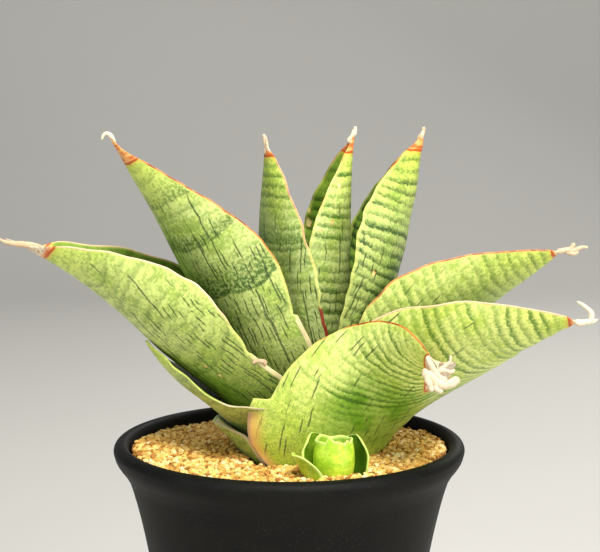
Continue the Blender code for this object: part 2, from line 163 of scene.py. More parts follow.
# Dry threads at the leaf tips: (right, back, up) points from the tip, and the radii of
# the thread's two ends.
PRONGS = {
    "leaf_left_low": [
        (((12, 1, -3.2), (7, 0.6, -2.2), (2.4, 0.3, -1.6), (-0.6, 0, -0.9), (-2.4, 0, 0.1)), (1.25, 0.45))],
    "leaf_left_high": [
        (((2, 0, -2.4), (0.6, 0, 0.2), (-0.8, 0, 0.9), (-1.9, 0, 0), (-2.2, 0, -1.3)), (0.75, 0.36))],
    "leaf_upright": [(((0.9, 0, -6.5), (0.5, 0, -3.5), (0, 0, -0.9), (-0.5, 0, 0.6)), (0.95, 0.55))],
    "leaf_centre": [(((-2.2, 0, -5.4), (-1, 0, -3), (-0.2, 0, -1), (0.2, 0, 0.4)), (1.1, 0.55))],
    "leaf_right_high": [(((-2.2, 0, -6), (-1.2, 0, -3.4), (-0.4, 0, -1.2), (0, 0, 0.3)), (1.1, 0.55))],
    "leaf_right_mid": [
        (((-1.5, 0, -0.6), (1.2, 0, 0.3), (3, 0, 0.6), (4.6, 0, 2.6)), (1, 0.75)),
        (((1.6, 0, 0.2), (4.4, 0, 0.2), (7, 0, 1.3), (9, 0, 1)), (0.85, 0.5)),
        (((1.4, 0, 0), (3.8, 0, -0.9), (6, 0, -0.4)), (0.8, 0.6))],
    "leaf_right_low": [
        (((-1.5, 0, 0), (1.4, 0, -0.4), (3.8, 0, 0.4), (3.9, 0, 2.6), (2.2, 0, 4.6), (-0.8, 0, 6.6)),
         (1.1, 0.65)),
        (((1, 0, -0.2), (3.6, 0, -0.2), (6.2, 0, 0.7)), (0.9, 0.5))],
    "leaf_front": [
        (((-4, -0.6, 0.2), (-3.2, -1.2, -2.4), (-2.2, -1.4, -4.8), (-1.4, -1.2, -6.8)), (1.1, 0.9)),
        (((-2.6, -0.4, -0.4), (-1.6, -1, -2.6), (-0.2, -1.4, -4.8), (0.2, -1.3, -6.6)), (1.2, 0.8)),
        (((-2.4, -0.6, -1), (-0.2, -1.3, -3.4), (2.4, -1.6, -4.8), (4.6, -1.4, -4), (6.2, -1, -2.4)),
         (1.2, 1.3)),
        (((-3, -0.2, 4), (-2.2, -0.6, 1.6), (-0.8, -0.9, -0.8), (1, -1.2, -2.9), (3, -1.2, -3.4)), (0.8, 1)),
        (((-0.6, -0.6, -0.9), (1.8, -0.9, -0.3), (3.6, -0.8, -0.9), (5.2, -0.7, -0.3)), (0.8, 0.5)),
        (((0, -0.2, -0.8), (2.2, 0.2, 0.6), (3.7, 0.4, 2), (4, 0.4, 4)), (0.8, 0.34)),
        (((-1.2, -1.4, -5), (0.6, -1.7, -6.4), (1.2, -1.6, -7)), (1, 0.7))],
}
# A curled end on a torn margin: its place on the margin (mm from the base) and thread.
HOOKS = {
    "leaf_left_low": (43, (
        ((0.6, 0.3, -0.4), (-0.6, -0.4, 0.6), (-2, -0.9, 1), (-3.2, -1.1, 0.7), (-3.6, -1.1, 0)), (1, 0.5))),
}
# Small healed wounds: (mm from the base, mm across towards the near side, size).
SCARS = {
    "leaf_centre": [
        (109.7, 12.2, 1.3), (98.3, 16.6, 1.1), (96, 21.4, 0.8), (95.5, -22.6, 1.8), (99.5, -21.8, 1.3)],
    "leaf_right_high": [(81.9, 27, 1.3), (91.9, 8.2, 1)],
    "leaf_left_low": [(49.5, 22.4, 1.1), (55, 21.6, 0.9)],
    "leaf_left_under": [(30, 14, 1.2), (36, 15, 0.9)],
}
# inside is how strongly the inner face is painted a deeper green, as painted shade
PUP_LEAVES = {
    "pup_left_leaf": dict(
        ring=7.8, heading=(140, 140, 140), rise=(72, 84, 104), fold=(52, 52, 50),
        length=19, width=9.8, widest=0.52, inside=0.55),
    "pup_right_leaf": dict(
        ring=8.6, heading=(44, 44, 44), rise=(66, 84, 104), fold=(50, 50, 48),
        length=18.2, width=9.6, widest=0.52, inside=0.9),
    "pup_scale": dict(
        ring=9, heading=(208, 210, 208), rise=(87, 68, 46), fold=(36, 38, 32),
        length=15.8, width=7.6, widest=0.38, inside=0.2),
}


# ---------- curves and noise

def eased(low, high, value):
    """Smooth 0 to 1 as value goes from low to high."""
    share = np.clip((value - low) / (high - low), 0, 1)
    return share * share * (3 - 2 * share)


def spread(values, share):
    """Read a smooth curve through evenly spaced values at the given shares (0 to 1)."""
    values = np.asarray(values, float)
    last = len(values) - 1
    slope = np.gradient(values)
    place = np.clip(share, 0, 1) * last
    left = np.minimum(place.astype(int), last - 1)
    f = place - left
    start = values[left] * (1 + 2 * f) * (1 - f) ** 2 + slope[left] * f * (1 - f) ** 2
    end = values[left + 1] * f * f * (3 - 2 * f) + slope[left + 1] * f * f * (f - 1)
    return start + end


def curve_points(points, share):
    """Read a smooth curve through points, axis by axis."""
    return np.stack([spread(values, share) for values in zip(*points)], -1)


class Waves:
    """Smooth random variation along one or two lengths, the same on every run."""

    def __init__(self, seed):
        self.random = np.random.default_rng(seed)

    def line(self, x, wavelength, layers=5):
        total = np.zeros_like(x)
        for _ in range(layers):
            length = wavelength * self.random.uniform(0.6, 1.8)
            total += np.sin(math.tau * x / length + self.random.uniform(0, math.tau))
        return total / layers ** 0.5

    def field(self, x, y, wavelength, layers=7):
        total = np.zeros(np.broadcast(x, y).shape)
        for _ in range(layers):
            length = wavelength * self.random.uniform(0.6, 1.8)
            turn = self.random.uniform(0, math.tau)
            wave = (x * math.cos(turn) + y * math.sin(turn)) / length
            total += np.sin(math.tau * wave + self.random.uniform(0, math.tau))
        return total / layers ** 0.5


# ---------- mesh building

def show(name, mesh):
    """Put a mesh into the scene as an object of that name."""
    item = bpy.data.objects.new(name, mesh)
    bpy.context.scene.collection.objects.link(item)
    return item


class Sheet:
    """Points, faces and per-point values of one piece, gathered from several parts."""

    def __init__(self):
        self.points, self.faces, self.values = [], [], {}
        self.count = 0

    def add(self, points, faces, **values):
        points = np.asarray(points, float).reshape(-1, 3)
        self.faces += [tuple(corner + self.count for corner in face) for face in faces]
        for name, value in values.items():
            flat = np.asarray(value, float).reshape(-1)
            self.values.setdefault(name, []).append(np.broadcast_to(flat, len(points)))
        self.points.append(points)
        self.count += len(points)

    def build(self, name, angle=60):
        mesh = bpy.data.meshes.new(name)
        points = np.concatenate(self.points) * MM
        mesh.from_pydata(points.tolist(), [], self.faces)
        work = bmesh.new()
        work.from_mesh(mesh)
        bmesh.ops.recalc_face_normals(work, faces=work.faces)
        work.to_mesh(mesh)
        work.free()
        for key, parts in self.values.items():
            layer = mesh.attributes.new(key, "FLOAT", "POINT")
            layer.data.foreach_set("value", np.concatenate(parts).astype(np.float32))
        mesh.shade_smooth()
        mesh.set_sharp_from_angle(angle=math.radians(angle))
        return show(name, mesh)


def ring_faces(rows, columns):
    """Side faces of a tube made of rows of point rings."""
    faces = []
    for row in range(rows - 1):
        for column in range(columns):
            first = row * columns + column
            second = row * columns + (column + 1) % columns
            faces.append((first, second, second + columns, first + columns))
    return faces


def tube_faces(rows, columns):
    """Faces of a tube of point rings, with one flat face at each end."""
    last = (rows - 1) * columns
    return ring_faces(rows, columns) + [tuple(range(columns)), tuple(range(last, last + columns))]


def leaf_end_faces(first, columns):
    """Faces that close one end ring of a leaf, from its outer to its inner points."""
    last = 2 * columns
    faces = [(place, place + 1, last - 1 - place, last - place) for place in range(columns - 1)]
    faces += [(columns - 1, columns, columns + 1), (0, last, last + 1)]
    return [tuple(first + corner for corner in face) for face in faces]


# ---------- leaf shape

def half_width(leaf, along, tip=0.03, belly=1.6, taper=1.25):
    """Half width over the curve: base arc, widest place, long taper to the tip."""
    base = leaf.ring * math.radians(leaf.fold[0]) / leaf.width
    widest = leaf.widest
    rising = np.sin(0.5 * math.pi * np.clip(along / widest, 0, 1)) ** 2
    rise = base + (1 - base) * rising
    past = np.clip((along - widest) / (1 - widest), 0, 1)
    fall = tip + (1 - tip) * (1 - past ** belly) ** taper
    width = leaf.width * np.where(along < widest, rise, fall)
    if leaf.dry:
        width = width * (1 - leaf.shrink * dryness(leaf, along, 1.25, 0.35))
    if leaf.cut:
        width = width * np.sqrt(np.clip(1 - (along * leaf.length / leaf.cut) ** 7, 0.03, 1))
    return width


def dryness(leaf, along, start, full):
    """0 to 1 into the dry tip; start and full are in tip lengths back from the end."""
    end, dry = leaf.length, leaf.dry
    return eased(end - start * dry, end - full * dry, along * end)


def flap_reach(leaf, place):
    """How far the torn sheath edge stands out past the smooth margin."""
    flap = np.array(((0, 0), *leaf.flap))
    return np.interp(place, flap[:, 0], flap[:, 1])


def arc_reach(leaf, along, share, width):
    """Share of the fold that the section covers, with trims, lobes and torn flaps."""
    trimmed = 1 - leaf.trim * (1 - eased(0.15, 0.55, along))
    lobe = 1 + leaf.lobe * np.exp(-((along - 0.27) / 0.09) ** 2)
    reach = np.where(share < 0, trimmed[:, None], lobe[:, None])
    if leaf.flap:
        out = flap_reach(leaf, along * leaf.length) / width
        reach = reach + (share * leaf.near > 0) * out[:, None] * np.abs(share) ** 2
    return share * reach


def leaf_frame(leaf, axis, bottom, along):
    """Keel points and the mouth and side directions along a leaf."""
    heading = np.radians(spread(leaf.heading, along))
    rise = np.radians(spread(leaf.rise, along))
    roll = np.radians(spread(leaf.roll, along))
    flat = np.cos(rise)
    forward = np.stack([np.cos(heading) * flat, np.sin(heading) * flat, np.sin(rise)], -1)
    steps = 0.5 * (forward[1:] + forward[:-1]) * leaf.length * np.diff(along)[:, None]
    keel = np.concatenate([np.zeros((1, 3)), np.cumsum(steps, 0)])
    keel += (
        axis[0] + leaf.ring * math.cos(heading[0]),
        axis[1] + leaf.ring * math.sin(heading[0]),
        bottom)
    level = np.stack(
        [-np.sin(rise) * np.cos(heading), -np.sin(rise) * np.sin(heading), np.cos(rise)], -1)
    side = np.cross(forward, level)
    mouth = level * np.cos(roll)[:, None] + side * np.sin(roll)[:, None]
    return keel, mouth, np.cross(forward, mouth)


def leaf_lift(leaf, waves, along, share, width, ripple, settle):
    """How far the skin moves inward: waves, the flap's outward curl and crushed dry skin."""
    place = (along * leaf.length)[:, None]
    across = share * width[:, None]
    lift = 0.22 * ripple * settle + 0.16 * settle * waves.field(place, across, 26)
    if leaf.flap:
        curl = np.clip(flap_reach(leaf, place) / max(out for _, out in leaf.flap), 0, 1)
        lift = lift - 1.1 * curl * np.where(share * leaf.near > 0, np.abs(share) ** 8, 0)
    if leaf.dry:
        crushed = dryness(leaf, along, 1.2, 0.6) * np.minimum(1, width / 4)
        lift = lift + 0.16 * crushed[:, None] * waves.field(place, across, 4.5)
    return lift


def leaf_thickness(leaf, along, share, radius, base_thick, body_thick):
    """Thick at the keel and thin at the margins, the tip and in the dry skin."""
    middle = base_thick + (body_thick - base_thick) * eased(0.05, 0.4, along)
    middle = np.minimum(middle * (1 - 0.65 * eased(0.75, 1, along)), 0.55 * radius)
    margin = np.minimum(0.55, 0.8 * middle)
    thick = margin[:, None] + (middle - margin)[:, None] * (1 - np.abs(share) ** 3)
    if leaf.dry:
        thick = thick * (1 - 0.25 * dryness(leaf, along, 1.1, 0.5)[:, None])
    return thick


def leaf_values(leaf, along, across, share):
    """The values that a leaf's points carry for its material, in ring order."""
    columns = len(share)
    place = (along * leaf.length)[:, None]
    limit = np.where(share < 0, np.abs(across[:, :1]), np.abs(across[:, -1:]))
    facing = across * leaf.near
    fresh = leaf.length - leaf.dry if leaf.dry else 2 * leaf.length

    def around(values):
        return np.concatenate([values, values[:, -1:], values[:, ::-1], values[:, :1]], 1)

    edge = around(np.abs(limit - np.abs(across)))
    edge[:, [columns, -1]] = -0.2
    inner = around(np.zeros_like(across))
    inner[:, columns + 1:-1] = 1
    inner[:, [columns, -1]] = 0.4
    return dict(
        leaf_along=around(np.repeat(place, columns, 1)), leaf_across=around(facing),
        leaf_edge=edge, leaf_inner=inner,
        leaf_fresh=around(fresh - place + leaf.slant * np.clip(facing, -14, 3)))


def leaf_sheet(sheet, leaf, axis, bottom, rows, columns, base_thick, body_thick, seed, **outline):
    """Add one channelled leaf with rounded, wavy margins.

    Returns its tip point and the points of the margin on the near side.
    """
    waves = Waves(seed)
    along = np.linspace(0, (leaf.cut or leaf.length) / leaf.length, rows)
    place = along * leaf.length
    even = np.linspace(-1, 1, columns)
    share = 0.35 * np.sin(0.5 * math.pi * even) + 0.65 * even
    keel, mouth, side = leaf_frame(leaf, axis, bottom, along)
    width = half_width(leaf, along, **outline)
    fold = np.radians(spread(leaf.fold, along))
    radius = width / fold

    ends = np.stack([waves.line(place, 9), waves.line(place, 11)], -1)
    ripple = ends[:, np.where(share < 0, 0, 1)] * np.abs(share) ** 6
    settle = (eased(0.1, 0.3, along) * np.minimum(1, width / 8))[:, None]
    angle = fold[:, None] * arc_reach(leaf, along, share, width) * (1 + 0.006 * ripple * settle)
    lift = leaf_lift(leaf, waves, along, share, width, ripple, settle)
    thick = leaf_thickness(leaf, along, share, radius, base_thick, body_thick)[..., None]

    mouth, side = mouth[:, None], side[:, None]
    cos, sin = np.cos(angle)[..., None], np.sin(angle)[..., None]
    around = radius[:, None, None]
    inward = mouth * cos - side * sin
    outer = keel[:, None] + mouth * around * (1 - cos) + side * around * sin + inward * lift[..., None]
    inner = outer + inward * thick
    round_out = (side * cos + mouth * sin) * 0.45 * thick
    right = (0.5 * (outer + inner) + round_out)[:, -1:]
    left = (0.5 * (outer + inner) - round_out)[:, :1]
    rings = np.concatenate([outer, right, inner[:, ::-1], left], 1)

    count = rings.shape[1]
    faces = ring_faces(rows, count)
    faces += leaf_end_faces(0, columns) + leaf_end_faces((rows - 1) * count, columns)
    sheet.add(rings, faces, **leaf_values(leaf, along, angle * radius[:, None], share))
    tip = keel[-1] + 0.4 * (inward * thick)[-1, columns // 2]
    return tip, (right if leaf.near > 0 else left)[:, 0]


def prong(sheet, start, thread, seed, length):
    """Add a knobbly dry thread; its points are offsets from start."""
    points, radii = thread
    waves = Waves(seed)
    steps, sides = 6 * (len(points) - 1) + 1, 10
    share = np.linspace(0, 1, steps)
    path = curve_points(points, share)
    forward = np.gradient(path, axis=0)
    forward /= np.linalg.norm(forward, axis=1)[:, None]
    across = np.cross(forward, (0.15, 1, 0.1))
    across /= np.linalg.norm(across, axis=1)[:, None]
    third = np.cross(forward, across)
    turns = np.arange(sides) * math.tau / sides
    thickness = radii[0] + (radii[1] - radii[0]) * share
    thickness *= np.sqrt(np.clip(1 - (2 * share - 1) ** 14, 0.02, 1))
    knobs = 1 + 0.16 * waves.field(share[:, None] * 14, turns[None, :] * 2, 5)
    around = across[:, None] * np.cos(turns)[:, None] + third[:, None] * (0.72 * np.sin(turns))[:, None]
    rings = path[:, None] + around * (thickness[:, None] * knobs)[..., None] + start
    sheet.add(
        rings, tube_faces(steps, sides), leaf_along=length, leaf_across=0, leaf_edge=5,
        leaf_inner=0, leaf_fresh=-40)


# ---------- shader building

class Shader:
    """One material, with short ways to add and join its nodes."""

    def __init__(self, name):
        self.material = bpy.data.materials.new(name)
        self.material.use_nodes = True
        self.tree = self.material.node_tree
        self.surface = self.tree.nodes["Principled BSDF"]

    def node(self, kind, **settings):
        made = self.tree.nodes.new(kind)
        for key, value in settings.items():
            setattr(made, key, value)
        return made

    def feed(self, socket, value):
        """Join a socket to another one, or set it to a number or a colour."""
        if isinstance(value, bpy.types.NodeSocket):
            self.tree.links.new(value, socket)
        elif hasattr(value, "__len__"):
            socket.default_value = (*value, 1)
        else:
            socket.default_value = value

    def feed_all(self, sockets, values):
        for socket, value in zip(sockets, values):
            self.feed(socket, value)

    def attribute(self, name):
        return self.node("ShaderNodeAttribute", attribute_name=name).outputs["Fac"]

    def object_place(self):
        return self.node("ShaderNodeTexCoord").outputs["Object"]

    def math(self, operation, *values):
        """One operation on the first two values, then on that result and the next."""
        total = values[0]
        for value in values[1:] or (0,):
            made = self.node("ShaderNodeMath", operation=operation)
            self.feed_all(made.inputs, (total, value))
            total = made.outputs[0]
        return total

    def plus(self, *values):
        return self.math("ADD", *values)

    def minus(self, first, second):
        return self.math("SUBTRACT", first, second)

    def times(self, *values):
        return self.math("MULTIPLY", *values)

    def between(self, share, low, high):
        """From low to high as share goes from 0 to 1."""
        return self.plus(low, self.times(share, high - low))

    def sway(self, noise, reach):
        """Noise round 0.5 as a shift to both sides of 0."""
        return self.times(self.minus(noise, 0.5), reach)

    def vector(self, *values):
        made = self.node("ShaderNodeCombineXYZ")
        self.feed_all(made.inputs, values)
        return made.outputs[0]

    def channels(self, colour):
        made = self.node("ShaderNodeSeparateColor")
        self.feed(made.inputs[0], colour)
        return made.outputs

    def step(self, value, low, high):
        """Smooth 0 to 1 as value goes from low to high (or 1 to 0 when low is above high)."""
        made = self.node("ShaderNodeMapRange", interpolation_type="SMOOTHSTEP")
        targets = (low, high, 0, 1) if low <= high else (high, low, 1, 0)
        keys = ("Value", "From Min", "From Max", "To Min", "To Max")
        self.feed_all([made.inputs[key] for key in keys], (value, *targets))
        return made.outputs["Result"]

    def noise(self, vector, scale, detail=2, rough=0.5):
        made = self.node("ShaderNodeTexNoise")
        keys = ("Vector", "Scale", "Detail", "Roughness")
        self.feed_all([made.inputs[key] for key in keys], (vector, scale, detail, rough))
        return made.outputs["Fac"]

    def patches(self, noise, low, high, first, second):
        """Two colours in patches: the second one where the noise is over high."""
        return self.mix(self.step(noise, low, high), first, second)

    def mix(self, share, first, second, blend="MIX"):
        made = self.node("ShaderNodeMix", data_type="RGBA", blend_type=blend)
        self.feed_all([made.inputs[index] for index in (0, 6, 7)], (share, first, second))
        return made.outputs[2]

    def paint(self, under, over, *shares):
        """One colour over another, as thick as the product of the shares."""
        return self.mix(self.times(*shares) if len(shares) > 1 else shares[0], under, over)

    def ramp(self, value, *stops):
        made = self.node("ShaderNodeValToRGB")
        band = made.color_ramp
        while len(band.elements) < len(stops):
            band.elements.new(0.5)
        for element, (place, colour) in zip(band.elements, stops):
            element.position = place
            element.color = (*colour, 1)
        self.feed(made.inputs["Fac"], value)
        return made.outputs["Color"]

    def bump(self, height, strength, distance):
        made = self.node("ShaderNodeBump")
        self.feed(made.inputs["Height"], height)
        made.inputs["Strength"].default_value = strength
        made.inputs["Distance"].default_value = distance * MM
        self.tree.links.new(made.outputs["Normal"], self.surface.inputs["Normal"])

    def finish(self, colour, roughness, specular=0.5):
        self.feed(self.surface.inputs["Base Color"], colour)
        self.feed(self.surface.inputs["Roughness"], roughness)
        self.surface.inputs["Specular IOR Level"].default_value = specular
        return self.material


def tone(red, green, blue):
    """Linear colour from display values of 0 to 255."""
    made = []
    for value in (red, green, blue):
        value /= 255
        made.append(value / 12.92 if value <= 0.04045 else ((value + 0.055) / 1.055) ** 2.4)
    return tuple(made)


class Skin(Shader):
    """The skin of one leaf, with the values that its points carry."""

    def __init__(self, name, offset):
        super().__init__(f"{name}_skin")
        self.along = self.attribute("leaf_along")
        self.across = self.attribute("leaf_across")
        self.edge = self.attribute("leaf_edge")
        self.inner = self.attribute("leaf_inner")
        self.place = self.vector(self.across, self.along, offset)


# ---------- leaf materials

def ground_colour(s, leaf):
    """Greyish and darker at the base, partly the leaf's own colour and partly painted shade of the lower
    half, then pale green, then yellow green near the tip, and mottled.
    """
    grey, glow = leaf.grey, leaf.glow
    # every tone is lifted by painted light on the leaves that the light falls on
    base = tone(122 - 6 * grey + 50 * glow, 132 - 18 * grey + 56 * glow, 56 - 2 * grey - 6 * glow)
    pale = tone(196 - 10 * grey + 30 * glow, 212 - 8 * grey + 24 * glow, 102 + 24 * grey + 32 * glow)
    warm = tone(204 + 26 * glow, 224 + 14 * glow, 70 + 44 * glow)
    lime = tone(166 + 40 * glow, 194 + 28 * glow, 66 + 14 * glow)
    green = tone(108 + 44 * glow, 140 + 44 * glow, 58)
    # the base tone at the low end of the ramp is partly painted shade of the lower half
    colour = s.ramp(s.share, (0.2, base), (0.54, pale), (0.76, pale), (0.97, warm))
    colour = s.paint(colour, lime, s.step(s.cloud, 0.5, 0.68), 0.55)
    mottled = s.step(s.plus(s.times(s.grain, 0.8), s.times(s.cloud, 0.3)), 0.51, 0.62)
    return s.paint(colour, green, mottled, 0.62)


def stripe_place(s, leaf):
    """Length along the leaf, bent and jagged as its cross stripes are."""
    warp = s.sway(s.noise(s.place, 0.055, 2), leaf.warp)
    sideways = s.vector(s.across, s.times(s.along, 0.35), s.seed)
    jag = s.sway(s.noise(sideways, 0.75, 4, 0.75), 3 - 1.6 * leaf.soft)
    return s.plus(s.along, warp, jag, s.times(s.across, s.across, leaf.arch))


def cross_stripes(s, leaf, run, eaten):
    """Dark lines with a jagged lower edge that fade upwards, in patches."""
    number = s.math("DIVIDE", run, leaf.period)
    saw = s.math("FRACT", number)
    pick = s.node("ShaderNodeTexWhiteNoise", noise_dimensions="1D")
    s.feed(pick.inputs["W"], s.plus(s.math("FLOOR", number), s.seed * 3.7))
    chosen = s.channels(pick.outputs["Color"])[0]
    line = s.times(s.step(saw, 0, 0.1 + 0.16 * leaf.soft), s.step(saw, 0.78, 0.16))
    patch = s.noise(s.vector(s.times(s.across, 0.5), s.along, s.seed + 2.2), 0.075, 2, 0.5)
    upper = s.step(s.plus(s.share, s.sway(s.cloud, 0.3)), leaf.bare - 0.08, leaf.bare + 0.08)
    dark = s.times(
        line, s.between(chosen, 0.35, 1.2), s.between(eaten, 0.5, 1),
        s.between(s.step(patch, 0.34, 0.54), 0.45, 1.05), upper, leaf.bands)
    if leaf.flank:
        dark = s.times(
            dark, s.between(s.step(s.across, 21, 9), 0.3, 1),
            s.between(s.step(s.share, 0.86, 0.68), 0.4, 1))
    return dark


def dark_front(s, run, eaten, place, depth):
    """One dark line with a mottled zone that fades away above it."""
    past = s.minus(run, place)
    zone = s.times(
        s.step(past, -0.3, 0.5), s.step(past, depth, 0.15 * depth),
        s.between(s.step(s.grain, 0.38, 0.58), 0.35, 1))
    line = s.times(s.step(past, -0.4, 0.2), s.step(past, 1.3, 0.4), s.between(eaten, 0.35, 1))
    return s.math("MAXIMUM", zone, line)


def all_stripes(s, leaf, colour):
    run = stripe_place(s, leaf)
    eaten = s.step(s.noise(s.place, 1.1, 3, 0.7), 0.36, 0.56)
    band = cross_stripes(s, leaf, run, eaten)
    for place, depth, strength in leaf.fronts:
        front = dark_front(s, run, eaten, place, depth)
        band = s.math("MAXIMUM", band, s.times(front, strength))
    glow = leaf.glow
    # the dark stripes are lifted by the same painted light
    dark = tone(44 + 50 * glow, 76 + 56 * glow, 28 + 6 * glow)
    return s.paint(colour, dark, s.math("MINIMUM", band, 1), 0.95)


def painted_flank_shade(s, colour):
    """Painted shade on the side under the fold of a leaf that leans forward, multiplied in as a darker
    green.
    """
    flank = s.times(
        s.step(s.across, 21, 5), s.step(s.across, -24, -8), s.step(s.share, 0.2, 0.36),
        s.step(s.share, 0.7, 0.46), s.between(s.step(s.cloud, 0.38, 0.58), 0.6, 1))
    return s.mix(flank, colour, tone(134, 184, 60), blend="MULTIPLY")


def dark_speckle(s, leaf, colour):
    """Dark speckle that thickens towards the base."""
    speck = s.step(s.noise(s.place, 2.1, 2, 0.6), 0.46, 0.6)
    # the speckle is lifted by the same painted light
    deep = tone(66 + 30 * leaf.glow, 78 + 40 * leaf.glow, 46)
    thick = 0.8 * (0.72 + 0.35 * leaf.grey)
    return s.paint(colour, deep, speck, s.step(s.share, 0.75, 0.15), thick)


def dash_mask(s, across, seed, cell, half_thick, half_long, chance):
    """Fine lines along the leaf: one line in some of a jittered grid of cells.

    cell is the size of a cell across and along the leaf.
    """
    cells = s.vector(s.math("DIVIDE", across, cell[0]), s.math("DIVIDE", s.along, cell[1]), seed)
    voronoi = s.node("ShaderNodeTexVoronoi", voronoi_dimensions="3D", feature="F1")
    s.feed(voronoi.inputs["Vector"], cells)
    voronoi.inputs["Scale"].default_value = 1
    offset = s.node("ShaderNodeVectorMath", operation="SUBTRACT")
    s.feed_all(offset.inputs, (cells, voronoi.outputs["Position"]))
    parts = s.node("ShaderNodeSeparateXYZ")
    s.feed(parts.inputs[0], offset.outputs[0])
    narrow, lengthwise = (
        s.times(s.math("ABSOLUTE", part), size) for part, size in zip(parts.outputs, cell))
    chosen = s.channels(voronoi.outputs["Color"])
    line = s.step(narrow, half_thick, 0.35 * half_thick)
    span = s.times(s.plus(chosen[1], 0.35), half_long)
    run = s.step(s.minus(lengthwise, span), 0.4, -1.2)
    return s.times(line, run, s.step(s.minus(chosen[0], chance), 0.04, -0.04))


def all_dashes(s, leaf):
    """Short and long lengthwise lines, rarer towards the tip."""
    wobble = s.plus(s.across, s.sway(s.noise(s.place, 0.16, 2), 1.6))
    chance = s.times(s.step(s.share, 0.86, 0.42), leaf.dashes)
    short = dash_mask(s, wobble, s.seed + 0.5, (1.9, 9), 0.36, 3.4, s.times(chance, 0.8))
    long = dash_mask(s, wobble, s.seed + 9.5, (6, 34), 0.46, 12, s.times(chance, leaf.veins))
    return s.math("MAXIMUM", short, long)


def painted_channel_shade(s, colour):
    """Painted shade inside the channel: the inner face is multiplied by a darker green."""
    channel_shade = s.patches(s.grain, 0.42, 0.58, tone(120, 150, 66), tone(176, 202, 104))
    return s.mix(s.times(s.step(s.inner, 0.45, 0.9), 0.9), colour, channel_shade, blend="MULTIPLY")


def healed_wound(s, colour, along, across, size):
    spot = s.vector(s.minus(s.along, along), s.times(s.minus(s.across, across), 1.5), 0)
    far = s.node("ShaderNodeVectorMath", operation="LENGTH")
    s.feed(far.inputs[0], spot)
    rough = s.plus(far.outputs["Value"], s.sway(s.noise(s.place, 0.8, 3, 0.7), 3.2))
    colour = s.paint(colour, tone(206, 120, 36), s.step(rough, size + 0.2, size - 0.5), 0.85)
    return s.paint(colour, tone(240, 222, 150), s.step(rough, size - 0.1, size - 0.7))


def sheath_edge(s, leaf, ragged, colour):
    """The pale margin low down on the near side; a wide one has a brown outer skin."""
    top, wide, shade = leaf.sheath
    low_part = s.times(s.step(s.along, top + 1, top - 1.5), s.step(s.across, -2, 2))
    fringe = s.mix(s.noise(s.place, 0.3, 3), tone(*shade), tone(*(0.86 * value for value in shade)))
    blur = 0.75 if wide < 2 else 0.15
    colour = s.paint(colour, fringe, s.step(ragged, (2 - blur) * wide, blur * wide), low_part)
    if wide < 2:
        return colour
    return s.paint(colour, tone(186, 150, 118), s.step(ragged, 0.45 * wide, 0.1 * wide), low_part, 0.75)


def margin_colours(s, leaf, colour):
    """Yellowish fringe, pale sheath edge, red-brown line and papery outer edge."""
    ragged = s.plus(s.edge, s.sway(s.noise(s.place, 0.55, 2), 0.5))
    colour = s.paint(colour, tone(212, 216, 116), s.step(ragged, 1.2, 0.3), 0.5)
    if leaf.sheath:
        colour = sheath_edge(s, leaf, ragged, colour)
    if leaf.red:
        redness = s.step(s.plus(s.share, s.sway(s.cloud, 0.4)), 0.95 - leaf.red, 1.08 - leaf.red)
        line = s.patches(s.noise(s.place, 0.35, 2), 0.4, 0.6, tone(150, 66, 16), tone(206, 128, 52))
        colour = s.paint(colour, line, s.step(ragged, 0.44, 0.16), redness)
        colour = s.paint(colour, tone(232, 208, 168), s.step(s.edge, 0.3, 0.1), redness, leaf.papery)
    return colour


def dry_tip(s, leaf, colour):
    """A yellow fringe, a dark orange line, a tan cone and a cream white end."""
    uneven = s.plus(s.fresh, s.sway(s.noise(s.place, 0.3, 2), 1.8))
    colour = s.paint(colour, tone(214, 190, 70), s.step(uneven, 2.2, 0.5), 0.7)
    colour = s.paint(colour, tone(186, 84, 24), s.step(uneven, 0.75, 0.35))
    rings = s.noise(s.vector(s.times(s.across, 0.4), s.times(s.along, 1.3), s.seed), 0.6, 2)
    tan = s.patches(rings, 0.42, 0.6, tone(232, 166, 92), tone(206, 104, 42))
    colour = s.paint(colour, tan, s.step(uneven, -0.05, -0.5))
    cream = s.patches(s.noise(s.place, 0.8, 3), 0.4, 0.65, tone(226, 212, 184), tone(190, 154, 112))
    fade_from = -leaf.tan * leaf.dry
    return s.paint(colour, cream, s.step(uneven, fade_from - 0.2, fade_from - 0.12 * leaf.dry - 0.3))


def leaf_material(name, leaf, seed):
    s = Skin(name, seed * 7.3)
    s.seed = seed
    s.fresh = s.attribute("leaf_fresh")
    s.share = s.math("DIVIDE", s.along, leaf.length)
    s.cloud = s.noise(s.place, 0.085, 3, 0.55)
    s.grain = s.noise(s.place, 0.9, 4, 0.65)

    colour = ground_colour(s, leaf)
    colour = all_stripes(s, leaf, colour)
    if leaf.flank:
        colour = painted_flank_shade(s, colour)
    colour = dark_speckle(s, leaf, colour)
    dashes = all_dashes(s, leaf)
    colour = s.paint(colour, tone(50, 66, 30), dashes, s.between(s.grain, 0.5, 1.1))
    colour = painted_channel_shade(s, colour)
    for scar in SCARS.get(name, []):
        colour = healed_wound(s, colour, *scar)
    colour = margin_colours(s, leaf, colour)
    colour = dry_tip(s, leaf, colour)

    ribs = s.noise(s.vector(s.times(s.across, 1.6), s.times(s.along, 0.06), seed), 0.8, 2)
    s.bump(s.plus(s.times(s.grain, 0.4), s.times(dashes, -0.5), s.times(ribs, 0.8)), 0.35, 0.22)
    return s.finish(colour, s.between(s.grain, 0.4, 0.56), 0.42)


